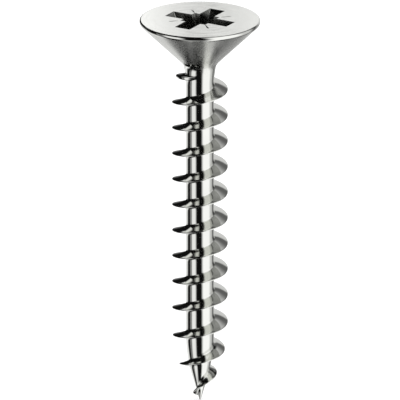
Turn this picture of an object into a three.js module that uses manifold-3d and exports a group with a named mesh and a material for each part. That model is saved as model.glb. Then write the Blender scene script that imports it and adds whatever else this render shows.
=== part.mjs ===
// A countersunk wood screw with a cross recess, fully threaded, in bright steel.
//
// The whole screw is one piece of wire: the head is pressed on one end, the recess is punched into
// it, and the thread and the point are rolled on the rest. It is therefore one solid.
//
// Millimetres, +Z up. The origin is the middle of the head's flat top face, which ends up level with
// the face of the wood, so the screw lies below z = 0 and its point looks down.
import * as THREE from "three";
import { ParametricGeometry } from "three/addons/geometries/ParametricGeometry.js";
import { mergeVertices } from "three/addons/utils/BufferGeometryUtils.js";
import Module from "manifold-3d";

// Overall sizes
const LENGTH = 30.0; // top face to the tip of the point
const HEAD_DIAMETER = 9.0;
const CORE_DIAMETER = 2.1; // wire left between the turns of thread
const THREAD_DIAMETER = 4.18; // over the crests
const PITCH = 2.01; // single start, so also the advance for each turn

// Head
const RIM_HEIGHT = 0.29; // top face to the corner of rim and cone, before it is rounded
const RIM_TOP_ROUND = 0.19; // how far down the rounding under the top face reaches
const RIM_EDGE = 0.11; // how far in from the rim the roundings reach
const COUNTERSINK_HALF_ANGLE = 45.5; // degrees, from the axis
const NECK_DIAMETER = 2.55; // where the cone ends
const NECK_LENGTH = 1.4; // from there down to the plain core

// Thread
const THREAD_START = 3.98; // depth below the top face where the thread fades in
const RUNOUT_TURNS = 0.42; // share of a turn over which it grows to full height
const RUNOUT_CREST_WIDTH = 0.3; // the crest is blunt where the thread fades in
const RUNOUT_DROP = 0.2; // and lies this much lower than a true helix would
const CREST_WIDTH = 0.07;
const FLANK_ANGLE = 17; // degrees, each flank from square to the axis
const THREAD_START_AZIMUTH = 270; // degrees from +X, where the crest rises out of the neck

// Point
const POINT_HALF_ANGLE = 16; // degrees, from the axis
const POINT_SHOULDER = 1.7; // reach of the rounding on each side of the cone's mouth
const TIP_RADIUS = 0.03;
const CREST_TAPER_LENGTH = 6; // the crests draw in over this much of the screw's end
const CREST_TAPER_POWER = 1.9;
const CREST_TIP_RADIUS = 0.18; // the crests would stand this far from the axis at the tip
const THREAD_END_HEIGHT = 0.4; // over the tip, where the last fin ends
const LEAD_STRETCH_LENGTH = 10; // rolling the point draws the last turns out lengthwise
const LEAD_STRETCH = 0.023; // extra lead, as a share of the pitch for each turn squared
const POINT_RISE = 0.38; // the last turn runs uneven: it lies this much higher
const POINT_RISE_HEIGHT = 1.76; // at this height over the tip
const POINT_RISE_REACH = 1.15; // and fades back to the even helix this far above and below

// Recess: two crossed blades, a round well, and a square one set between the blades
const RECESS_TURN = 60; // degrees from +X to the first blade
const RECESS_WALL = 0.53; // steel left beside the floor of the blades, square to the axis
const BLADE_SPAN = 5.2; // tip to tip at the top face
const BLADE_FLOOR_SPAN = 3.0;
const BLADE_WIDTH = 1.2;
const WELL_DIAMETER = 2.3;
const WELL_FLOOR_DIAMETER = 1.7;
const NOTCH_DIAGONAL = 2.9; // corner to corner of the square well, at the top face
const NOTCH_FLOOR_DIAGONAL = 2.1;
const FLOOR_CONE_HEIGHT = 0.35; // the well ends in a blunt cone below the blades

// Identification ticks on the top face, one between each two blades
const TICK_START = 1.55; // from the axis
const TICK_LENGTH = 0.85;
const TICK_WIDTH = 0.14;
const TICK_DEPTH = 0.07;

// Facets
const SEGMENTS = 36; // around a full turn, for the blank and for the thread alike
const RIM_EDGE_STEPS = 3;
const NECK_STEPS = 4;
const SHOULDER_STEPS = 6;
const ABOVE_FACE = 0.5; // how far the cutting shapes stand out of the face they cut

const STEEL = { color: 0xb9bab5, metalness: 1, roughness: 0.22 };

const radians = THREE.MathUtils.degToRad;
const wasm = await Module();
wasm.setup();

/** Turns a closed three.js geometry into a solid that can be joined and cut. */
function solidFrom(geometry) {
  const bare = geometry.clone();
  bare.deleteAttribute("normal");
  bare.deleteAttribute("uv");
  const merged = mergeVertices(bare, 1e-4);
  return new wasm.Manifold(
    new wasm.Mesh({
      numProp: 3,
      vertProperties: new Float32Array(merged.attributes.position.array),
      triVerts: new Uint32Array(merged.index.array),
    }),
  );
}

/** Turns a solid back into a three.js geometry. */
function geometryFrom(solid) {
  const mesh = solid.getMesh();
  const geometry = new THREE.BufferGeometry();
  geometry.setAttribute("position", new THREE.BufferAttribute(mesh.vertProperties, mesh.numProp));
  geometry.setIndex(new THREE.BufferAttribute(mesh.triVerts, 1));
  geometry.computeVertexNormals();
  return geometry;
}

/** A body of revolution about Z. The outline is a list of Vector2(radius, z), from top to bottom. */
function turned(outline, segments = SEGMENTS) {
  const upwards = [...outline].reverse();
  return new THREE.LatheGeometry(upwards, segments).rotateX(Math.PI / 2);
}

// The core's cylinder meets the point's cone at this height; the shoulder rounds that corner off.
const coneMouthZ = -LENGTH + (CORE_DIAMETER / 2 - TIP_RADIUS) / Math.tan(radians(POINT_HALF_ANGLE));
const shoulderCurve = new THREE.QuadraticBezierCurve(
  new THREE.Vector2(CORE_DIAMETER / 2, coneMouthZ + POINT_SHOULDER),
  new THREE.Vector2(CORE_DIAMETER / 2, coneMouthZ),
  new THREE.Vector2(
    CORE_DIAMETER / 2 - POINT_SHOULDER * Math.tan(radians(POINT_HALF_ANGLE)),
    coneMouthZ - POINT_SHOULDER,
  ),
);

const coneFootZ =
  -RIM_HEIGHT -
  (HEAD_DIAMETER - NECK_DIAMETER) / 2 / Math.tan(radians(COUNTERSINK_HALF_ANGLE));
const neckCurve = new THREE.QuadraticBezierCurve(
  new THREE.Vector2(NECK_DIAMETER / 2, coneFootZ),
  new THREE.Vector2((CORE_DIAMETER * 5 + NECK_DIAMETER * 4) / 18, coneFootZ - NECK_LENGTH * 0.2),
  new THREE.Vector2(CORE_DIAMETER / 2, coneFootZ - NECK_LENGTH),
);

const rimRadius = HEAD_DIAMETER / 2;

// The recess goes as deep as the cone leaves room for around the corners of the blades' floor.
const floorCorner = Math.hypot(BLADE_FLOOR_SPAN, BLADE_WIDTH) / 2;
const recessDepth =
  RIM_HEIGHT +
  (rimRadius - floorCorner - RECESS_WALL) / Math.tan(radians(COUNTERSINK_HALF_ANGLE));

const rimTopCurve = new THREE.QuadraticBezierCurve(
  new THREE.Vector2(rimRadius - RIM_EDGE, 0),
  new THREE.Vector2(rimRadius, 0),
  new THREE.Vector2(rimRadius, -RIM_TOP_ROUND),
);
const rimBottomCurve = new THREE.QuadraticBezierCurve(
  new THREE.Vector2(rimRadius, -RIM_HEIGHT * 0.8),
  new THREE.Vector2(rimRadius, -RIM_HEIGHT),
  new THREE.Vector2(
    rimRadius - RIM_EDGE,
    -RIM_HEIGHT - RIM_EDGE / Math.tan(radians(COUNTERSINK_HALF_ANGLE)),
  ),
);

/** The blank before threading: head, neck, core and point. */
function blankOutline() {
  const outline = [new THREE.Vector2(0, 0)];
  outline.push(...rimTopCurve.getPoints(RIM_EDGE_STEPS));
  outline.push(...rimBottomCurve.getPoints(RIM_EDGE_STEPS));
  outline.push(...neckCurve.getPoints(NECK_STEPS));
  outline.push(...shoulderCurve.getPoints(SHOULDER_STEPS));
  outline.push(new THREE.Vector2(TIP_RADIUS, -LENGTH));
  outline.push(new THREE.Vector2(0, -LENGTH));
  return outline;
}

/** Radius of the core at a depth below the neck. */
function coreRadius(z) {
  const cone = TIP_RADIUS + (z + LENGTH) * Math.tan(radians(POINT_HALF_ANGLE));
  return Math.max(TIP_RADIUS, Math.min(CORE_DIAMETER / 2, cone));
}

/** Height of the thread's middle after a number of turns down from its start. */
function threadZ(turns) {
  const stretchStart = (LENGTH - THREAD_START - LEAD_STRETCH_LENGTH) / PITCH;
  const late = Math.max(0, turns - stretchStart);
  const even = -THREAD_START - PITCH * (turns + LEAD_STRETCH * late * late);
  const away = Math.min(1, Math.abs(even + LENGTH - POINT_RISE_HEIGHT) / POINT_RISE_REACH);
  return even + POINT_RISE * Math.cos((Math.PI / 2) * away) ** 2;
}

/** Number of turns that bring the thread to its end just over the tip. */
function threadTurns() {
  let turns = 0;
  while (threadZ(turns) > -LENGTH + THREAD_END_HEIGHT) turns += 1 / SEGMENTS;
  return turns;
}

/** One corner of the thread's cross-section, as Vector2(radius, z). */
function threadCorner(turns, lastTurn, corner) {
  const grown = THREE.MathUtils.smoothstep(turns, 0, RUNOUT_TURNS);
  const z = threadZ(turns) - RUNOUT_DROP * (1 - grown);
  const root = coreRadius(z) * 0.8;
  const taper = Math.max(0, (-z - LENGTH + CREST_TAPER_LENGTH) / CREST_TAPER_LENGTH);
  const drawnIn = taper ** CREST_TAPER_POWER;
  const envelope = THREE.MathUtils.lerp(THREAD_DIAMETER / 2, CREST_TIP_RADIUS, drawnIn);
  const crest = THREE.MathUtils.lerp(root, envelope, grown);
  const isEnd = turns === 0 || turns === lastTurn;
  if (isEnd) return new THREE.Vector2(root, z);
  const crestHalf = THREE.MathUtils.lerp(RUNOUT_CREST_WIDTH, CREST_WIDTH, grown) / 2;
  const rootHalf = crestHalf + (crest - root) * Math.tan(radians(FLANK_ANGLE));
  const corners = [
    new THREE.Vector2(root, z + rootHalf),
    new THREE.Vector2(root, z - rootHalf),
    new THREE.Vector2(crest, z - crestHalf),
    new THREE.Vector2(crest, z + crestHalf),
  ];
  return corners[corner % corners.length];
}

/** The ridge of the thread, a right-hand helix whose root lies inside the core. */
function threadRidge() {
  const lastTurn = threadTurns();
  const stacks = Math.round(lastTurn * SEGMENTS);
  const place = (u, v, target) => {
    const turns = Math.round(v * stacks) === stacks ? lastTurn : v * lastTurn;
    const { x: radius, y: z } = threadCorner(turns, lastTurn, Math.round(u * 4));
    const azimuth = radians(THREAD_START_AZIMUTH) - 2 * Math.PI * turns;
    target.set(radius * Math.cos(azimuth), radius * Math.sin(azimuth), z);
  };
  return new ParametricGeometry(place, 4, stacks);
}

/** A blade of the recess: a tapered plate with parallel sides, wide along X. */
function blade() {
  const slope = (BLADE_SPAN - BLADE_FLOOR_SPAN) / 2 / recessDepth;
  const topReach = BLADE_SPAN / 2 + slope * ABOVE_FACE;
  const side = new THREE.Shape([
    new THREE.Vector2(-BLADE_FLOOR_SPAN / 2, -recessDepth),
    new THREE.Vector2(BLADE_FLOOR_SPAN / 2, -recessDepth),
    new THREE.Vector2(topReach, ABOVE_FACE),
    new THREE.Vector2(-topReach, ABOVE_FACE),
  ]);
  return new THREE.ExtrudeGeometry(side, { depth: BLADE_WIDTH, bevelEnabled: false })
    .translate(0, 0, -BLADE_WIDTH / 2)
    .rotateX(Math.PI / 2);
}

/** A well of the recess, round or square, ending in a blunt cone. */
function well(diameter, floorDiameter, sides) {
  const slope = (diameter - floorDiameter) / 2 / recessDepth;
  return turned(
    [
      new THREE.Vector2(0, ABOVE_FACE),
      new THREE.Vector2(diameter / 2 + slope * ABOVE_FACE, ABOVE_FACE),
      new THREE.Vector2(floorDiameter / 2, -recessDepth),
      new THREE.Vector2(0, -recessDepth - FLOOR_CONE_HEIGHT),
    ],
    sides,
  );
}

/** A tick: a shallow V-groove along X, running out on the top face. */
function tick() {
  const above = TICK_DEPTH;
  const halfTop = (TICK_WIDTH / 2) * ((TICK_DEPTH + above) / TICK_DEPTH);
  const groove = new THREE.Shape([
    new THREE.Vector2(0, -TICK_DEPTH),
    new THREE.Vector2(halfTop, above),
    new THREE.Vector2(-halfTop, above),
  ]);
  return new THREE.ExtrudeGeometry(groove, { depth: TICK_LENGTH, bevelEnabled: false })
    .rotateX(Math.PI / 2)
    .rotateZ(Math.PI / 2)
    .translate(TICK_START, 0, 0);
}

/** Everything that is punched out of the head, as one solid. */
function recess() {
  const quarter = Math.PI / 2;
  let cut = solidFrom(blade()).add(solidFrom(blade().rotateZ(quarter)));
  cut = cut.add(solidFrom(well(WELL_DIAMETER, WELL_FLOOR_DIAMETER, SEGMENTS)));
  cut = cut.add(solidFrom(well(NOTCH_DIAGONAL, NOTCH_FLOOR_DIAGONAL, 4).rotateZ(quarter / 2)));
  for (let i = 0; i < 4; i += 1) {
    cut = cut.add(solidFrom(tick().rotateZ(quarter * (i + 0.5))));
  }
  return cut.rotate([0, 0, RECESS_TURN]);
}

function screw() {
  const blank = solidFrom(turned(blankOutline()));
  const body = blank.add(solidFrom(threadRidge())).subtract(recess());
  const mesh = new THREE.Mesh(geometryFrom(body), new THREE.MeshStandardMaterial(STEEL));
  mesh.name = "screw";
  return mesh;
}

const part = new THREE.Group();
part.add(screw());

export default part;
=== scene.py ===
"""A countersunk wood screw in bright steel, with the small studio that it is shown in."""

import math

import bmesh
import bpy
import numpy as np
from bpy.props import FloatProperty, FloatVectorProperty, IntProperty, PointerProperty
from mathutils import Euler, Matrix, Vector


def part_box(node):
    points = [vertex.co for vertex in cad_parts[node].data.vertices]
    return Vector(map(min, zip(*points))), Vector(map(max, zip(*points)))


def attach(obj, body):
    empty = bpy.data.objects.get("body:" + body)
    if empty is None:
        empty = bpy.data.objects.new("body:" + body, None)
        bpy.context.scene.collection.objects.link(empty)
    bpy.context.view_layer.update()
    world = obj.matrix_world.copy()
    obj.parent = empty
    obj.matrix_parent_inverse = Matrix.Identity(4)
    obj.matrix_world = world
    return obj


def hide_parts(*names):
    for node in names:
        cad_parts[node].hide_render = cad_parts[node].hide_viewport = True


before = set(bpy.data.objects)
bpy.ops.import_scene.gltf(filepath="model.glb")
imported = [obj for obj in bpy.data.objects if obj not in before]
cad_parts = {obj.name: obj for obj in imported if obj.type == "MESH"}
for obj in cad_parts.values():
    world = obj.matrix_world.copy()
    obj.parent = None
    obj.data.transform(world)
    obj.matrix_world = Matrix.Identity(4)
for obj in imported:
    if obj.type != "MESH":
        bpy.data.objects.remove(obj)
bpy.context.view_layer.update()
LOW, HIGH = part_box("screw")

bl_info = {
    "name": "Wood Screw",
    "version": (1, 0, 0),
    "blender": (4, 5, 0),
    "location": "View3D > Sidebar > Wood Screw",
    "description": "Builds a countersunk wood screw with a cross recess, and a studio for it",
    "category": "Add Mesh",
}

MM = 0.001

# Fixed proportions of the screw, in millimetres and degrees
RIM_HEIGHT = 0.29
RIM_TOP_ROUND = 0.19
RIM_EDGE = 0.11
FACE_CROWN = 0.04  # how much lower the top face is at its edge than in the middle
CROWN_DEPTH = 0.25  # how far down the rim and the recess the crown fades out
NECK_DIAMETER = 2.55
NECK_LENGTH = 1.4
NECK_BEND_SHARE = 4 / 9  # how far out from core to neck the corner of the neck's curve lies
NECK_BEND_DROP = 0.2  # and how far down the neck, as a share of its length
CONE_REACH = 0.9  # share of the neck that still has the cone's finish
RIM_BEND_START = 0.8  # share of the rim's height where its lower rounding begins
THREAD_START = 3.98
RUNOUT_TURNS = 0.42
RUNOUT_CREST_WIDTH = 0.3
RUNOUT_DROP = 0.2
RUNOUT_BLEND = 0.15  # turns over which the first thread rises out of the neck
THREAD_START_AZIMUTH = 270.0
POINT_SHOULDER = 1.7
TIP_RADIUS = 0.03
CREST_TAPER_LENGTH = 6.0
CREST_TAPER_POWER = 1.9
CREST_TIP_RADIUS = 0.18
THREAD_END_HEIGHT = 0.4
MOST_TURNS = 40.0
TURN_STEP = 0.005
LEAD_STRETCH_LENGTH = 10.0
LEAD_STRETCH = 0.023
POINT_RISE = 0.38
POINT_RISE_HEIGHT = 1.76
POINT_RISE_REACH = 1.15
RECESS_TURN = 60.0
FLOOR_CONE_HEIGHT = 0.35
TICK_START = 1.55
TICK_LENGTH = 0.85
TICK_WIDTH = 0.14
TICK_DEPTH = 0.07

# Roundings and how finely they are divided
CREST_ROUND = 0.03
ROOT_FILLET = 0.06
RECESS_EDGE = 0.045
RECESS_CORNER = 0.06
ROUND_LIMIT = 0.45  # largest share of a low thread's height that a rounding takes
FACE_BORDER = 0.06  # width of the ring of faces inside the rim's rounding
LIP_BORDER = 0.03  # and of the one around the recess
SHARP_ANGLE = 38.0  # degrees between faces from which an edge stays sharp
VALLEY_STEPS = 4
FILLET_STEPS = 4
FLANK_STEPS = 3
CREST_STEPS = 4
RIM_STEPS = 7
CONE_STEPS = 14
CURVE_STEPS = 24
EDGE_STEPS = 5
WALL_STEPS = 6
CORNER_STEPS = 4
HELIX_TOP = 2.6  # depth of the ring where the head's rings hand over to the helical rows
FIN_END_TURNS = 0.05

# Gloss of the head's tooled places, and the painted shade that darkens the recess
CONE_ROUGHNESS = 0.24
RECESS_ROUGHNESS = 0.22
MARKS_FADE = 3.3  # depth where the cone's tool marks begin to fade
MARKS_END = 4.8  # depth where they are gone
NECK_GLOSS = 0.45  # share of the cone's roughness that is left there
CONE_BRUSHING = 0.85
# painted shade: the recess's steel colour is scaled down by this, standing in for the shade inside it
RECESS_PAINTED_SHADE = 0.5
MARK_RELIEF = 0.02  # height of the tool marks

# Where the camera looks, with its width of film in the usual millimetres
HEAD_LIFT = 13.482  # from the middle of the picture up to the top face
CAMERA_ROLL = -0.03
FILM_WIDTH = 36.0
FLOOR_SIZE = 3.0  # metres

# Material regions of the mesh
FACE, RIM, CONE, THREAD, RECESS = range(5)


def smooth(x, low, high):
    """Smooth step from 0 at low to 1 at high."""
    t = np.clip((x - low) / (high - low), 0.0, 1.0)
    return t * t * (3.0 - 2.0 * t)


def arc(start, corner, end, steps):
    """Points on the quadratic curve from start to end that rounds off corner."""
    t = np.linspace(0.0, 1.0, steps + 1)[:, None]
    a, b, c = (np.asarray(p, float) for p in (start, corner, end))
    return (1 - t) ** 2 * a + 2 * t * (1 - t) * b + t**2 * c


# ---------------------------------------------------------------- sizes


class ScrewSizes(bpy.types.PropertyGroup):
    """Sizes of the screw"""

    head_diameter: FloatProperty(
        name="Head diameter",
        description="Across the widest place of the head",
        default=HIGH.x - LOW.x,
        unit="LENGTH",
    )
    length: FloatProperty(
        name="Length",
        description="From the flat top face to the tip",
        default=HIGH.z - LOW.z,
        unit="LENGTH",
    )
    core_diameter: FloatProperty(
        name="Core diameter",
        description="Across the wire between the turns of thread",
        default=2.1 * MM,
        unit="LENGTH",
    )
    thread_diameter: FloatProperty(
        name="Thread diameter",
        description="Across the crests of the thread",
        default=4.18 * MM,
        unit="LENGTH",
    )
    pitch: FloatProperty(
        name="Pitch",
        description="From one crest to the next",
        default=2.01 * MM,
        unit="LENGTH",
    )
    crest_width: FloatProperty(
        name="Crest width",
        description="Thickness of the thread at its crest",
        default=0.07 * MM,
        unit="LENGTH",
    )
    flank_angle: FloatProperty(
        name="Flank angle",
        description="Slope of each flank of the thread from square to the axis",
        default=math.radians(17.0),
        subtype="ANGLE",
        unit="ROTATION",
    )
    countersink_angle: FloatProperty(
        name="Countersink half angle",
        description="Angle of the cone under the head, from the axis",
        default=math.radians(45.5),
        subtype="ANGLE",
        unit="ROTATION",
    )
    point_angle: FloatProperty(
        name="Point half angle",
        description="Angle of the point, from the axis",
        default=math.radians(16.0),
        subtype="ANGLE",
        unit="ROTATION",
    )
    blade_span: FloatProperty(
        name="Recess span",
        description="Across two opposite blades of the recess, at the top face",
        default=5.2 * MM,
        unit="LENGTH",
    )
    blade_floor_span: FloatProperty(
        name="Recess floor span",
        description="Across two opposite blades of the recess, at its floor",
        default=3.0 * MM,
        unit="LENGTH",
    )
    blade_width: FloatProperty(
        name="Recess blade width",
        description="Width of each blade of the recess",
        default=1.2 * MM,
        unit="LENGTH",
    )
    notch_diagonal: FloatProperty(
        name="Recess notch span",
        description="Across two opposite notches between the blades, at the top face",
        default=2.9 * MM,
        unit="LENGTH",
    )
    notch_floor_diagonal: FloatProperty(
        name="Recess notch floor span",
        description="Across two opposite notches between the blades, at the floor",
        default=2.1 * MM,
        unit="LENGTH",
    )
    recess_depth: FloatProperty(
        name="Recess depth",
        description="From the top face to the floor of the blades",
        default=2.6 * MM,
        unit="LENGTH",
    )
    columns: IntProperty(
        name="Columns",
        description="Divisions of the mesh around the screw",
        default=144,
        min=24,
    )


class SteelFinish(bpy.types.PropertyGroup):
    """Colour and gloss of the steel"""

    tint: FloatVectorProperty(
        name="Steel colour",
        description="Colour of the bare steel",
        default=(0.79, 0.795, 0.765),
        subtype="COLOR",
        min=0.0,
        max=1.0,
    )
    roughness: FloatProperty(
        name="Roughness",
        description="Roughness of the rolled thread and the cone",
        default=0.07,
        min=0.0,
        max=1.0,
        subtype="FACTOR",
    )
    face_roughness: FloatProperty(
        name="Face roughness",
        description="Roughness of the pressed top face",
        default=0.12,
        min=0.0,
        max=1.0,
        subtype="FACTOR",
    )
    mark_depth: FloatProperty(
        name="Mark depth",
        description="Strength of the fine marks left by rolling and pressing",
        default=0.12,
        min=0.0,
        max=1.0,
        subtype="FACTOR",
    )


class StudioSettings(bpy.types.PropertyGroup):
    """Camera and light of the studio"""

    camera_elevation: FloatProperty(
        name="Camera elevation",
        description="Height angle of the camera above the floor",
        default=math.radians(18.3),
        subtype="ANGLE",
        unit="ROTATION",
    )
    camera_distance: FloatProperty(
        name="Camera distance",
        description="From the camera to the screw",
        default=1.2,
        unit="LENGTH",
    )
    frame_width: FloatProperty(
        name="Frame width",
        description="Width of the picture at the screw",
        default=29.762 * MM,
        unit="LENGTH",
    )
    light: FloatProperty(
        name="Light",
        description="Strength of the surrounding light",
        default=1.0,
        min=0.0,
    )


# ---------------------------------------------------------------- the screw's shape


class Shape:
    """The screw's sizes in millimetres, and the curves that follow from them."""

    def __init__(self, sizes):
        self.columns = sizes.columns
        self.head = sizes.head_diameter / MM / 2
        self.length = sizes.length / MM
        self.core = sizes.core_diameter / MM / 2
        self.crest = sizes.thread_diameter / MM / 2
        self.pitch = sizes.pitch / MM
        self.crest_width = sizes.crest_width / MM
        self.flank = math.tan(sizes.flank_angle)
        self.sink = math.tan(sizes.countersink_angle)
        self.point = math.tan(sizes.point_angle)
        self.blade_span = sizes.blade_span / MM
        self.blade_floor_span = sizes.blade_floor_span / MM
        self.blade_width = sizes.blade_width / MM
        self.notch = sizes.notch_diagonal / MM
        self.notch_floor = sizes.notch_floor_diagonal / MM
        self.recess_depth = sizes.recess_depth / MM
        self.outline = self._outline()

    def rim_curves(self):
        """The two roundings of the rim, as (radius, z)."""
        r, e = self.head, RIM_EDGE
        top = arc((r - e, 0), (r, 0), (r, -RIM_TOP_ROUND), RIM_STEPS)
        foot = (r - e, -RIM_HEIGHT - e / self.sink)
        bottom = arc((r, -RIM_HEIGHT * RIM_BEND_START), (r, -RIM_HEIGHT), foot, RIM_STEPS)
        return top, bottom

    def _outline(self):
        """The blank's outline below the rim, as (radius, z) rows from top to bottom."""
        neck = NECK_DIAMETER / 2
        foot = -RIM_HEIGHT - (self.head - neck) / self.sink
        bend_radius = self.core + (neck - self.core) * NECK_BEND_SHARE
        bend = (bend_radius, foot - NECK_LENGTH * NECK_BEND_DROP)
        neck_curve = arc((neck, foot), bend, (self.core, foot - NECK_LENGTH), CURVE_STEPS)
        mouth = -self.length + (self.core - TIP_RADIUS) / self.point
        inner = self.core - POINT_SHOULDER * self.point
        shoulder = arc(
            (self.core, mouth + POINT_SHOULDER),
            (self.core, mouth),
            (inner, mouth - POINT_SHOULDER),
            CURVE_STEPS,
        )
        tip = np.array([[TIP_RADIUS, -self.length]])
        return np.vstack([self.rim_curves()[1][-1:], neck_curve, shoulder, tip])

    def blank(self, z):
        """Radius of the blank at a height."""
        rows = self.outline[::-1]
        return np.interp(z, rows[:, 1], rows[:, 0])

    def thread_z(self, turns):
        """Height of the thread's middle after a number of turns down."""
        start = (self.length - THREAD_START - LEAD_STRETCH_LENGTH) / self.pitch
        late = np.maximum(0.0, turns - start)
        even = -THREAD_START - self.pitch * (turns + LEAD_STRETCH * late * late)
        away = np.minimum(1.0, np.abs(even + self.length - POINT_RISE_HEIGHT) / POINT_RISE_REACH)
        return even + POINT_RISE * np.cos(math.pi / 2 * away) ** 2

    def thread_turns(self):
        """Number of turns that bring the thread to its end just over the tip."""
        turns = np.arange(0.0, MOST_TURNS, TURN_STEP)
        return float(turns[self.thread_z(turns) > -self.length + THREAD_END_HEIGHT][-1])

    def crest_radius(self, turns, z):
        """Radius of the crest, which fades in below the head and draws in at the point."""
        grown = float(smooth(turns, 0.0, RUNOUT_TURNS))
        end = self.thread_turns()
        grown *= 1.0 - float(smooth(turns, end - FIN_END_TURNS, end))
        taper = max(0.0, (-z - self.length + CREST_TAPER_LENGTH) / CREST_TAPER_LENGTH)
        envelope = self.crest + (CREST_TIP_RADIUS - self.crest) * taper**CREST_TAPER_POWER
        base = float(self.blank(z))
        return base + (max(envelope, base) - base) * grown

    def thread_section(self, turns):
        """(radius, z) down one pitch of thread, from mid valley over the crest to mid valley."""
        fade = 1.0 - float(smooth(turns, 0.0, RUNOUT_TURNS))
        z = float(self.thread_z(turns)) - RUNOUT_DROP * fade
        crest = self.crest_radius(turns, z)
        half = (RUNOUT_CREST_WIDTH * fade + self.crest_width * (1.0 - fade)) / 2
        halves = []
        for side, valley in ((1, self.thread_z(turns - 0.5)), (-1, self.thread_z(turns + 0.5))):
            base = float(self.blank(z + side * half))
            height = max(crest - base, 0.0)
            root = z + side * (half + height * self.flank)
            fillet = min(ROOT_FILLET, height * ROUND_LIMIT)
            bevel = min(CREST_ROUND, height * ROUND_LIMIT)
            leave = root + side * fillet
            down = np.linspace(float(valley), leave, VALLEY_STEPS + 1)[:, None]
            flat = np.hstack([self.blank(down), down])
            lift = (base + fillet, root - side * fillet * self.flank)
            foot = (float(self.blank(leave)), leave)
            corner = (float(self.blank(root)), root)
            curve = arc(foot, corner, lift, FILLET_STEPS)
            shoulder = (crest - bevel, z + side * (half + bevel * self.flank))
            flank = np.linspace(lift, shoulder, FLANK_STEPS + 1)
            nose = arc(shoulder, (crest, z + side * half), (crest, z), CREST_STEPS)
            halves.append(np.vstack([flat, curve[1:], flank[1:], nose[1:]]))
        section = np.vstack([halves[0], halves[1][::-1][1:]])
        bare = self.blank(section[:, 1])
        section[:, 0] = bare + (section[:, 0] - bare) * float(smooth(turns, 0.0, RUNOUT_BLEND))
        return section

    def recess_outline(self, depth, grow):
        """The recess's outline at a depth, each side moved out by grow, as rounded corners in x, y."""
        t = depth / self.recess_depth
        reach = (self.blade_span + (self.blade_floor_span - self.blade_span) * t) / 2 + grow
        side = self.blade_width / 2 + grow
        notch = (self.notch + (self.notch_floor - self.notch) * t) / 2 / math.sqrt(2) + grow
        inner = RECESS_CORNER - grow * 0.5
        outer = RECESS_CORNER * 0.6 + grow * 0.5
        quarter = [
            ((reach, -side), inner),
            ((reach, side), inner),
            ((notch, side), outer),
            ((notch, notch), inner * 0.7),
            ((side, notch), outer),
        ]
        corners, radii = [], []
        for i in range(4):
            c, s = round(math.cos(i * math.pi / 2)), round(math.sin(i * math.pi / 2))
            for (x, y), radius in quarter:
                corners.append((x * c - y * s, x * s + y * c))
                radii.append(radius)
        points = []
        for i, corner in enumerate(corners):
            here = np.array(corner)
            back = np.array(corners[i - 1]) - here
            ahead = np.array(corners[(i + 1) % len(corners)]) - here
            a = here + back / np.linalg.norm(back) * radii[i]
            b = here + ahead / np.linalg.norm(ahead) * radii[i]
            points.extend(arc(a, here, b, CORNER_STEPS))
        turn = math.radians(RECESS_TURN)
        spin = np.array([[math.cos(turn), math.sin(turn)], [-math.sin(turn), math.cos(turn)]])
        return np.array(points) @ spin


class Skin:
    """Collects points and faces. Points in the same place become one vertex."""

    def __init__(self):
        self.points = []
        self.index = {}
        self.faces = []
        self.regions = []

    def vertex(self, x, y, z):
        key = (round(x, 6), round(y, 6), round(z, 6))
        if key not in self.index:
            self.index[key] = len(self.points)
            self.points.append(key)
        return self.index[key]

    def face(self, corners, region):
        kept = []
        for v in corners:
            if not kept or v != kept[-1]:
                kept.append(v)
        while len(kept) > 1 and kept[0] == kept[-1]:
            kept.pop()
        if len(kept) >= 3 and len(set(kept)) == len(kept):
            self.faces.append(tuple(kept))
            self.regions.append(region)

    def grid(self, rows, region, closed=True):
        """Faces between each row of vertices and the next. Rows run downwards, each anticlockwise."""
        for upper, lower in zip(rows, rows[1:]):
            count = len(upper) if closed else len(upper) - 1
            for j in range(count):
                k = (j + 1) % len(upper)
                self.face((upper[j], lower[j], lower[k], upper[k]), region)


def ring(skin, columns, radius, z):
    """One ring of vertices, anticlockwise from above."""
    angles = [math.tau * j / columns for j in range(columns)]
    return [skin.vertex(radius * math.cos(a), radius * math.sin(a), z) for a in angles]


def build_blank(skin, shape):
    """The rim and the upper cone, in rings down to where the helical rows begin."""
    top, bottom = shape.rim_curves()
    rim = [ring(skin, shape.columns, r, z) for r, z in np.vstack([top, bottom])]
    skin.grid(rim, RIM)
    depths = np.linspace(bottom[-1][1], -HELIX_TOP, CONE_STEPS + 1)
    cone = [rim[-1]] + [ring(skin, shape.columns, float(shape.blank(z)), z) for z in depths[1:]]
    skin.grid(cone, CONE)


def build_thread(skin, shape):
    """The cone's foot, neck, thread and point, as one ribbon that winds down the screw."""
    n = shape.columns
    first = math.floor((HELIX_TOP - THREAD_START) / shape.pitch - 1.0) * n
    last = first
    while shape.thread_z(last / n - 0.5) > -shape.length - 0.01:
        last += 1
    start = math.radians(THREAD_START_AZIMUTH)
    strips = []
    for j in range(first, last + 1):
        section = shape.thread_section(j / n)
        angle = start - math.tau * (j % n) / n
        # the ring of the blank uses whole columns, so the strip snaps to the nearest one
        column = round(angle / math.tau * n) % n
        angle = math.tau * column / n
        strip = []
        for radius, z in section:
            if z > -HELIX_TOP or z < -shape.length:
                z = min(max(z, -shape.length), -HELIX_TOP)
                radius = float(shape.blank(z))
            strip.append(skin.vertex(radius * math.cos(angle), radius * math.sin(angle), z))
        strips.append((section, strip))
    foot = -RIM_HEIGHT - (shape.head - NECK_DIAMETER / 2) / shape.sink
    cone_end = foot - NECK_LENGTH * CONE_REACH
    for turn, ((section, here), (_, there)) in enumerate(zip(strips, strips[1:]), first):
        for i in range(len(here) - 1):
            region = CONE if section[i][1] > cone_end and turn < 0 else THREAD
            skin.face((here[i], there[i], there[i + 1], here[i + 1]), region)
    tip = skin.vertex(0.0, 0.0, -shape.length)
    end = ring(skin, n, float(shape.blank(-shape.length)), -shape.length)
    for j in range(n):
        skin.face((end[j], tip, end[(j + 1) % n]), THREAD)


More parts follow.
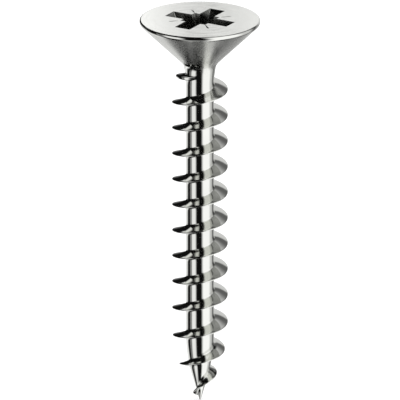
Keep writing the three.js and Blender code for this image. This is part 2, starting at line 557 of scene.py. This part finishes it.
def build_recess(skin, shape):
    """The walls and floor of the recess. Gives back its outer loop on the top face."""
    rows = []
    for step in range(EDGE_STEPS + 1):
        angle = step / EDGE_STEPS * math.pi / 2
        rows.append((RECESS_EDGE * (1 - math.cos(angle)), RECESS_EDGE * (1 - math.sin(angle))))
    walls = np.linspace(RECESS_EDGE, shape.recess_depth, WALL_STEPS + 1)
    rows.extend((depth, 0.0) for depth in walls[1:])
    loops = []
    for depth, grow in rows:
        outline = shape.recess_outline(depth, grow)
        loops.append([skin.vertex(x, y, -depth) for x, y in outline])
    skin.grid([loop[::-1] for loop in loops], RECESS)
    apex = skin.vertex(0.0, 0.0, -shape.recess_depth - FLOOR_CONE_HEIGHT)
    floor = loops[-1]
    for i, v in enumerate(floor):
        skin.face((v, floor[(i + 1) % len(floor)], apex), RECESS)
    return loops[0]


def build_ticks(skin):
    """The four tick marks. Gives back their outlines on the top face."""
    loops = []
    for i in range(4):
        turn = math.radians(RECESS_TURN + 45 + 90 * i)
        c, s = math.cos(turn), math.sin(turn)

        def put(x, y, z):
            return skin.vertex(x * c - y * s, x * s + y * c, z)

        w, near, far = TICK_WIDTH / 2, TICK_START, TICK_START + TICK_LENGTH
        outline = [
            put(near, -w * 0.4, 0.0),
            put(far - w, -w, 0.0),
            put(far, 0.0, 0.0),
            put(far - w, w, 0.0),
            put(near, w * 0.4, 0.0),
        ]
        bed = [put(near + w, 0.0, -TICK_DEPTH), put(far - 2 * w, 0.0, -TICK_DEPTH)]
        skin.face((outline[0], outline[1], bed[1], bed[0]), FACE)
        skin.face((outline[1], outline[2], bed[1]), FACE)
        skin.face((outline[2], outline[3], bed[1]), FACE)
        skin.face((outline[3], outline[4], bed[0], bed[1]), FACE)
        skin.face((outline[4], outline[0], bed[0]), FACE)
        loops.append(outline)
    return loops


def crowned(point, reach):
    """A point with the faint crown of the top face, which fades out down the rim and the recess."""
    x, y, z = point
    share = max(0.0, 1.0 + z / CROWN_DEPTH)
    return Vector((x, y, z - FACE_CROWN * (x * x + y * y) / reach**2 * share))


def smooth_crown(mesh, reach):
    """Normals of the top face that follow its crown, whatever triangles it is made of."""
    normals = [Vector(corner.vector) for corner in mesh.corner_normals]
    for polygon in mesh.polygons:
        if polygon.material_index != FACE or polygon.normal.z < 0.999:
            continue
        for i in polygon.loop_indices:
            x, y, _ = mesh.vertices[mesh.loops[i].vertex_index].co / MM
            slope = 2.0 * FACE_CROWN / reach**2
            normals[i] = Vector((x * slope, y * slope, 1.0)).normalized()
    mesh.normals_split_custom_set(normals)


def mesh_from(skin, name, fills, reach):
    """A mesh in metres from a skin, with the top face filled in between its loops."""
    bm = bmesh.new()
    verts = [bm.verts.new(crowned(p, reach) * MM) for p in skin.points]
    for corners, region in zip(skin.faces, skin.regions):
        face = bm.faces.new([verts[i] for i in corners])
        face.material_index = region
        face.smooth = True
    edges = []
    for loop in fills:
        for i, v in enumerate(loop):
            pair = (verts[v], verts[loop[(i + 1) % len(loop)]])
            edges.append(bm.edges.get(pair) or bm.edges.new(pair))
    made = bmesh.ops.triangle_fill(bm, edges=edges, use_beauty=True, normal=(0, 0, 1))
    for item in made["geom"]:
        if isinstance(item, bmesh.types.BMFace):
            item.material_index = FACE
            item.smooth = True
    bmesh.ops.recalc_face_normals(bm, faces=bm.faces)
    loose = [v for v in bm.verts if not v.link_faces]
    bmesh.ops.delete(bm, geom=loose, context="VERTS")
    mesh = bpy.data.meshes.new(name)
    bm.to_mesh(mesh)
    bm.free()
    mesh.set_sharp_from_angle(angle=math.radians(SHARP_ANGLE))
    smooth_crown(mesh, reach)
    return mesh


def build_screw_mesh(sizes):
    """The whole screw as one closed skin."""
    shape = Shape(sizes)
    skin = Skin()
    build_blank(skin, shape)
    build_thread(skin, shape)
    mouth = build_recess(skin, shape)
    lip = [skin.vertex(x, y, 0.0) for x, y in shape.recess_outline(0.0, RECESS_EDGE + LIP_BORDER)]
    skin.grid([lip[::-1], mouth[::-1]], FACE)
    edge = ring(skin, shape.columns, shape.head - RIM_EDGE, 0.0)
    flat = ring(skin, shape.columns, shape.head - RIM_EDGE - FACE_BORDER, 0.0)
    skin.grid([flat, edge], FACE)
    return mesh_from(skin, "screw_steel", [flat, lip] + build_ticks(skin), shape.head)


# ---------------------------------------------------------------- node helpers


def add(tree, kind, **values):
    """A new node with the given properties."""
    node = tree.nodes.new(kind)
    for key, value in values.items():
        setattr(node, key, value)
    return node


def math_node(tree, operation, a, b=None):
    """A math node on values or sockets. Gives back its output socket."""
    node = add(tree, "ShaderNodeMath", operation=operation)
    for socket, value in zip(node.inputs, (a, b)):
        if value is None:
            continue
        if isinstance(value, bpy.types.NodeSocket):
            tree.links.new(value, socket)
        else:
            socket.default_value = value
    return node.outputs[0]


def ramp_node(tree, factor, stops):
    """A grey ramp through (place, value) stops. Gives back its colour socket."""
    node = add(tree, "ShaderNodeValToRGB")
    elements = node.color_ramp.elements
    while len(elements) < len(stops):
        elements.new(0.5)
    for element, (place, value) in zip(elements, stops):
        element.position = place
        element.color = (value, value, value, 1.0)
    tree.links.new(factor, node.inputs[0])
    return node.outputs[0]


def separated(tree, output):
    """The x, y and z sockets of a texture coordinate."""
    place = add(tree, "ShaderNodeTexCoord")
    parts = add(tree, "ShaderNodeSeparateXYZ")
    tree.links.new(place.outputs[output], parts.inputs[0])
    return parts.outputs


def new_group(name, inputs, outputs):
    """An empty shader group with named float or colour sockets."""
    group = bpy.data.node_groups.new(name, "ShaderNodeTree")
    for label, kind, value in inputs:
        socket = group.interface.new_socket(label, in_out="INPUT", socket_type=kind)
        socket.default_value = value
    for label, kind in outputs:
        group.interface.new_socket(label, in_out="OUTPUT", socket_type=kind)
    source = group.nodes.new("NodeGroupInput")
    sink = group.nodes.new("NodeGroupOutput")
    return group, source, sink


# ---------------------------------------------------------------- finishes


def turning_marks_group():
    """Fine marks that run around the screw, as left by rolling dies and header tools."""
    group, source, sink = new_group(
        "turning_marks",
        [("Lines", "NodeSocketFloat", 9000.0), ("Length", "NodeSocketFloat", 2.0)],
        [("Height", "NodeSocketFloat"), ("Mask", "NodeSocketFloat")],
    )
    x, y, z = separated(group, "Object")
    angle = math_node(group, "ARCTAN2", y, x)
    squares = [math_node(group, "MULTIPLY", side, side) for side in (x, y)]
    radius = math_node(group, "SQRT", math_node(group, "ADD", *squares))
    down = math_node(group, "SUBTRACT", z, radius)
    across = math_node(group, "MULTIPLY", down, source.outputs["Lines"])
    along = math_node(group, "MULTIPLY", angle, source.outputs["Length"])
    joined = add(group, "ShaderNodeCombineXYZ")
    group.links.new(across, joined.inputs[0])
    group.links.new(along, joined.inputs[1])
    noise = add(group, "ShaderNodeTexNoise")
    noise.inputs["Scale"].default_value = 1.0
    noise.inputs["Detail"].default_value = 4.0
    group.links.new(joined.outputs[0], noise.inputs["Vector"])
    group.links.new(noise.outputs[0], sink.inputs["Height"])
    mask = ramp_node(group, noise.outputs[0], [(0.35, 0.0), (0.7, 1.0)])
    group.links.new(mask, sink.inputs["Mask"])
    return group


def handling_group():
    """Cloudy differences in gloss, and fine scratches in all directions."""
    group, source, sink = new_group(
        "handling",
        [("Cloud Scale", "NodeSocketFloat", 700.0), ("Scratch Scale", "NodeSocketFloat", 2600.0)],
        [("Cloud", "NodeSocketFloat"), ("Scratches", "NodeSocketFloat")],
    )
    place = add(group, "ShaderNodeTexCoord")
    cloud = add(group, "ShaderNodeTexNoise")
    cloud.inputs["Detail"].default_value = 3.0
    group.links.new(place.outputs["Object"], cloud.inputs["Vector"])
    group.links.new(source.outputs["Cloud Scale"], cloud.inputs["Scale"])
    group.links.new(cloud.outputs[0], sink.inputs["Cloud"])
    cells = add(group, "ShaderNodeTexVoronoi", feature="DISTANCE_TO_EDGE")
    warp = add(group, "ShaderNodeTexNoise")
    warp.inputs["Scale"].default_value = 900.0
    group.links.new(place.outputs["Object"], warp.inputs["Vector"])
    bend = add(group, "ShaderNodeVectorMath", operation="MULTIPLY_ADD")
    group.links.new(warp.outputs["Color"], bend.inputs[0])
    bend.inputs[1].default_value = (0.0006, 0.0006, 0.0006)
    group.links.new(place.outputs["Object"], bend.inputs[2])
    group.links.new(bend.outputs[0], cells.inputs["Vector"])
    group.links.new(source.outputs["Scratch Scale"], cells.inputs["Scale"])
    lines = ramp_node(group, cells.outputs[0], [(0.0, 1.0), (0.035, 0.0)])
    group.links.new(lines, sink.inputs["Scratches"])
    return group


def neck_fade(tree):
    """1 on the cone, and less down the neck, where the tool marks run out."""
    height = separated(tree, "Object")["Z"]
    fade = add(tree, "ShaderNodeMapRange", interpolation_type="SMOOTHSTEP")
    tree.links.new(height, fade.inputs["Value"])
    fade.inputs["From Min"].default_value = -MARKS_END * MM
    fade.inputs["From Max"].default_value = -MARKS_FADE * MM
    fade.inputs["To Min"].default_value = NECK_GLOSS
    fade.inputs["To Max"].default_value = 1.0
    return fade.outputs["Result"]


def steel_material(name, groups, finish, roughness, marks, lines, scratch, painted_shade=1.0, brushed=0.0):
    """Bright steel with turning marks and handling marks in gloss, colour and relief. A shade factor
    below 1 darkens the colour as painted shade.
    """
    material = bpy.data.materials.new(name)
    material.use_nodes = True
    tree = material.node_tree
    shader = tree.nodes["Principled BSDF"]
    shader.inputs["Metallic"].default_value = 1.0
    turning = add(tree, "ShaderNodeGroup", node_tree=groups["turning"])
    turning.inputs["Lines"].default_value = lines
    handling = add(tree, "ShaderNodeGroup", node_tree=groups["handling"])
    tint = add(tree, "ShaderNodeMix", data_type="RGBA")
    # the shade factor scales the colour down, which is painted shade where it is below 1
    tint.inputs["A"].default_value = (*[c * painted_shade * 0.93 for c in finish.tint], 1.0)
    tint.inputs["B"].default_value = (*[c * painted_shade for c in finish.tint], 1.0)
    tree.links.new(handling.outputs["Cloud"], tint.inputs["Factor"])
    tree.links.new(tint.outputs["Result"], shader.inputs["Base Color"])
    gloss = math_node(tree, "MULTIPLY", turning.outputs["Mask"], roughness * 0.5)
    haze = math_node(tree, "MULTIPLY", handling.outputs["Cloud"], roughness * 0.5)
    rough = math_node(tree, "ADD", math_node(tree, "ADD", gloss, haze), roughness * 0.55)
    if brushed:
        rough = math_node(tree, "MULTIPLY", rough, neck_fade(tree))
    scratched = math_node(tree, "MULTIPLY", handling.outputs["Scratches"], scratch)
    tree.links.new(math_node(tree, "ADD", rough, scratched), shader.inputs["Roughness"])
    if brushed:
        around = add(tree, "ShaderNodeTangent", direction_type="RADIAL", axis="Z")
        tree.links.new(around.outputs[0], shader.inputs["Tangent"])
        shader.inputs["Anisotropic"].default_value = brushed
        shader.inputs["Anisotropic Rotation"].default_value = 0.25
    bump = add(tree, "ShaderNodeBump")
    bump.inputs["Strength"].default_value = marks
    bump.inputs["Distance"].default_value = MARK_RELIEF * MM
    tree.links.new(turning.outputs["Height"], bump.inputs["Height"])
    tree.links.new(bump.outputs["Normal"], shader.inputs["Normal"])
    return material


def steel_materials(finish):
    """One material for each region of the screw, in the order of the regions."""
    groups = {"turning": turning_marks_group(), "handling": handling_group()}
    rough, face, marks = finish.roughness, finish.face_roughness, finish.mark_depth
    kinds = (
        ("pressed_face", face, marks * 0.3, 3000.0, 0.06, {}),
        ("rolled_rim", rough, marks * 0.5, 9000.0, 0.03, {}),
        ("pressed_cone", CONE_ROUGHNESS, marks, 12000.0, 0.04, {"brushed": CONE_BRUSHING}),
        ("rolled_thread", rough, marks * 0.5, 9000.0, 0.02, {}),
        # the recess's colour is darkened by painted shade, standing in for the shade inside it
        ("punched_recess", RECESS_ROUGHNESS, marks, 6000.0, 0.05, {"painted_shade": RECESS_PAINTED_SHADE}),
    )
    return [steel_material(name, groups, finish, *rest, **more) for name, *rest, more in kinds]


# ---------------------------------------------------------------- studio


# Light boxes and lit areas around the screw. Angles are in degrees. Azimuth is 0 towards the camera
# and grows to its right, from -90 round to 270. A slant leans a box's sides by that many degrees of
# azimuth for each degree of elevation. Soft is half the width of the soft edge, sideways and upright.
LIGHT_BOXES = (
    ("left_strip", (-72.0, -34.0), (-50.0, 6.0), 0.0, (9.0, 8.0), 1.03),
    ("left_rear_fill", (-95.0, -80.0), (-40.0, 0.0), 0.0, (8.0, 10.0), 0.3),
    ("right_panel", (17.0, 84.0), (-78.0, 58.0), -0.12, (12.0, 6.0), 1.2),
    ("right_fill", (86.0, 117.0), (-78.0, 42.0), 0.0, (12.0, 10.0), 0.7),
    ("right_rear_fill", (130.0, 148.0), (-60.0, 8.0), 0.0, (10.0, 6.0), 0.38),
    ("rear_right_lower", (146.0, 181.0), (-10.0, 28.0), 0.0, (8.0, 4.0), 0.72),
    ("rear_right_upper", (148.0, 184.0), (46.0, 66.0), 0.0, (6.0, 9.0), 0.55),
    ("rear_right_gap", (122.0, 184.0), (28.0, 42.0), 0.0, (6.0, 5.0), 0.13),
    ("rear_left_card", (184.0, 210.0), (30.0, 42.0), 0.0, (3.0, 2.0), 0.95),
    ("face_card_right", (175.0, 179.6), (6.0, 32.0), 0.0, (0.6, 3.0), 0.6),
    ("face_card_left", (180.4, 185.0), (6.0, 32.0), 0.0, (0.6, 3.0), 1.0),
    ("rear_floor", (148.0, 229.0), (-54.0, -12.0), -0.33, (16.0, 4.0), 0.8),
    ("rear_floor_edge", (212.0, 229.0), (-46.0, -18.0), -0.33, (12.0, 5.0), 0.5),
    ("underside", (-100.0, 280.0), (-92.0, -72.0), 0.0, (1.0, 5.0), 0.55),
)
AZIMUTH_START = -90.0
PLAIN_LIGHT = 1.35  # the white surroundings that light the floor and are seen behind the screw
FLAG_LIGHT = 0.006  # what the dark flags between the boxes still give


def soft_edge(tree, value, middle, soft, rising=True):
    """0 to 1 across a soft edge at middle, or 1 to 0 where it isn't rising."""
    node = add(tree, "ShaderNodeMapRange", interpolation_type="SMOOTHSTEP")
    tree.links.new(value, node.inputs["Value"])
    node.inputs["From Min"].default_value = middle - soft
    node.inputs["From Max"].default_value = middle + soft
    node.inputs["To Min"].default_value = 0.0 if rising else 1.0
    node.inputs["To Max"].default_value = 1.0 if rising else 0.0
    return node.outputs["Result"]


def light_box(tree, azimuth, elevation, box):
    """The light that one box gives in each direction."""
    _, (left, right), (foot, top), slant, (soft_side, soft_end), strength = box
    leaning = math_node(tree, "SUBTRACT", azimuth, math_node(tree, "MULTIPLY", elevation, slant))
    edges = [
        soft_edge(tree, leaning, left, soft_side),
        soft_edge(tree, leaning, right, soft_side, rising=False),
        soft_edge(tree, elevation, foot, soft_end),
        soft_edge(tree, elevation, top, soft_end, rising=False),
    ]
    light = strength
    for edge in edges:
        light = math_node(tree, "MULTIPLY", edge, light)
    return light


def studio_light(strength):
    """Light boxes and dark flags all around, drawn in the world by direction."""
    world = bpy.data.worlds.new("studio_light")
    world.use_nodes = True
    world.cycles.sampling_method = "NONE"
    tree = world.node_tree
    tree.nodes.clear()
    x, y, z = separated(tree, "Generated")
    around = math_node(tree, "ARCTAN2", x, math_node(tree, "MULTIPLY", y, -1.0))
    turned = math_node(tree, "SUBTRACT", math_node(tree, "DEGREES", around), AZIMUTH_START)
    azimuth = math_node(tree, "ADD", math_node(tree, "FLOORED_MODULO", turned, 360.0), AZIMUTH_START)
    elevation = math_node(tree, "DEGREES", math_node(tree, "ARCSINE", z))
    light = FLAG_LIGHT
    for box in LIGHT_BOXES:
        light = math_node(tree, "ADD", light_box(tree, azimuth, elevation, box), light)

    reflected = add(tree, "ShaderNodeBackground")
    tree.links.new(light, reflected.inputs["Color"])
    reflected.inputs["Strength"].default_value = strength
    plain = add(tree, "ShaderNodeBackground")
    plain.inputs["Color"].default_value = (1.0, 1.0, 1.0, 1.0)
    plain.inputs["Strength"].default_value = PLAIN_LIGHT
    rays = add(tree, "ShaderNodeLightPath")
    choose = add(tree, "ShaderNodeMixShader")
    out = add(tree, "ShaderNodeOutputWorld")
    tree.links.new(rays.outputs["Is Glossy Ray"], choose.inputs[0])
    tree.links.new(plain.outputs[0], choose.inputs[1])
    tree.links.new(reflected.outputs[0], choose.inputs[2])
    tree.links.new(choose.outputs[0], out.inputs[0])
    bpy.context.scene.world = world


def pale_floor(z):
    """A wide pale floor under the tip of the screw."""
    bm = bmesh.new()
    bmesh.ops.create_grid(bm, x_segments=2, y_segments=2, size=FLOOR_SIZE)
    mesh = bpy.data.meshes.new("studio_floor")
    bm.to_mesh(mesh)
    bm.free()
    floor = bpy.data.objects.new("studio_floor", mesh)
    bpy.context.scene.collection.objects.link(floor)
    floor.location.z = z
    floor.visible_glossy = False
    material = bpy.data.materials.new("pale_floor")
    material.use_nodes = True
    shader = material.node_tree.nodes["Principled BSDF"]
    shader.inputs["Base Color"].default_value = (0.98, 0.98, 0.98, 1.0)
    shader.inputs["Roughness"].default_value = 0.9
    shader.inputs["Specular IOR Level"].default_value = 0.0
    mesh.materials.append(material)


def aim_camera(studio, target, lift, roll):
    """A long-lens camera that shows target at lift above the middle of the picture."""
    data = bpy.data.cameras.new("studio_camera")
    camera = bpy.data.objects.new("studio_camera", data)
    bpy.context.scene.collection.objects.link(camera)
    elevation = studio.camera_elevation
    camera.rotation_euler = Euler((math.pi / 2 - elevation, 0.0, 0.0))
    turn = camera.rotation_euler.to_matrix()
    away = turn @ Vector((0.0, 0.0, 1.0))
    up = turn @ Vector((0.0, 1.0, 0.0))
    camera.location = target + away * studio.camera_distance - up * lift
    camera.rotation_euler.rotate_axis("Z", roll)
    data.sensor_width = FILM_WIDTH
    data.lens = FILM_WIDTH * studio.camera_distance / studio.frame_width
    data.clip_start = 0.1
    data.clip_end = 20.0
    bpy.context.scene.camera = camera


# ---------------------------------------------------------------- operators


class SCREW_OT_build_screw(bpy.types.Operator):
    """Build the screw and give it its steel finish"""

    bl_idname = "wood_screw.build_screw"
    bl_label = "Build screw"

    def execute(self, context):
        scene = context.scene
        mesh = build_screw_mesh(scene.screw_sizes)
        for material in steel_materials(scene.steel_finish):
            mesh.materials.append(material)
        screw = bpy.data.objects.new("wood_screw", mesh)
        scene.collection.objects.link(screw)
        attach(screw, "root")
        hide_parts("screw")
        return {"FINISHED"}


class SCREW_OT_build_studio(bpy.types.Operator):
    """Build the floor, the light and the camera"""

    bl_idname = "wood_screw.build_studio"
    bl_label = "Build studio"

    def execute(self, context):
        studio = context.scene.studio_settings
        pale_floor(LOW.z)
        studio_light(studio.light)
        head = Vector(((LOW.x + HIGH.x) / 2, (LOW.y + HIGH.y) / 2, HIGH.z))
        aim_camera(studio, head, HEAD_LIFT * MM, math.radians(CAMERA_ROLL))
        context.scene.view_settings.view_transform = "Standard"
        return {"FINISHED"}


class SCREW_PT_panel(bpy.types.Panel):
    """Sizes, finish and studio of the wood screw"""

    bl_idname = "SCREW_PT_panel"
    bl_label = "Wood Screw"
    bl_space_type = "VIEW_3D"
    bl_region_type = "UI"
    bl_category = "Wood Screw"

    def draw(self, context):
        for name in ("screw_sizes", "steel_finish", "studio_settings"):
            settings = getattr(context.scene, name)
            box = self.layout.box()
            for key in settings.bl_rna.properties.keys():
                if key not in ("rna_type", "name"):
                    box.prop(settings, key)
        self.layout.operator(SCREW_OT_build_screw.bl_idname)
        self.layout.operator(SCREW_OT_build_studio.bl_idname)


CLASSES = (
    ScrewSizes,
    SteelFinish,
    StudioSettings,
    SCREW_OT_build_screw,
    SCREW_OT_build_studio,
    SCREW_PT_panel,
)


def register():
    for item in CLASSES:
        bpy.utils.register_class(item)
    bpy.types.Scene.screw_sizes = PointerProperty(type=ScrewSizes)
    bpy.types.Scene.steel_finish = PointerProperty(type=SteelFinish)
    bpy.types.Scene.studio_settings = PointerProperty(type=StudioSettings)


def unregister():
    del bpy.types.Scene.studio_settings
    del bpy.types.Scene.steel_finish
    del bpy.types.Scene.screw_sizes
    for item in reversed(CLASSES):
        bpy.utils.unregister_class(item)


def main():
    register()
    bpy.ops.wood_screw.build_screw()
    bpy.ops.wood_screw.build_studio()


if __name__ == "__main__":
    main()
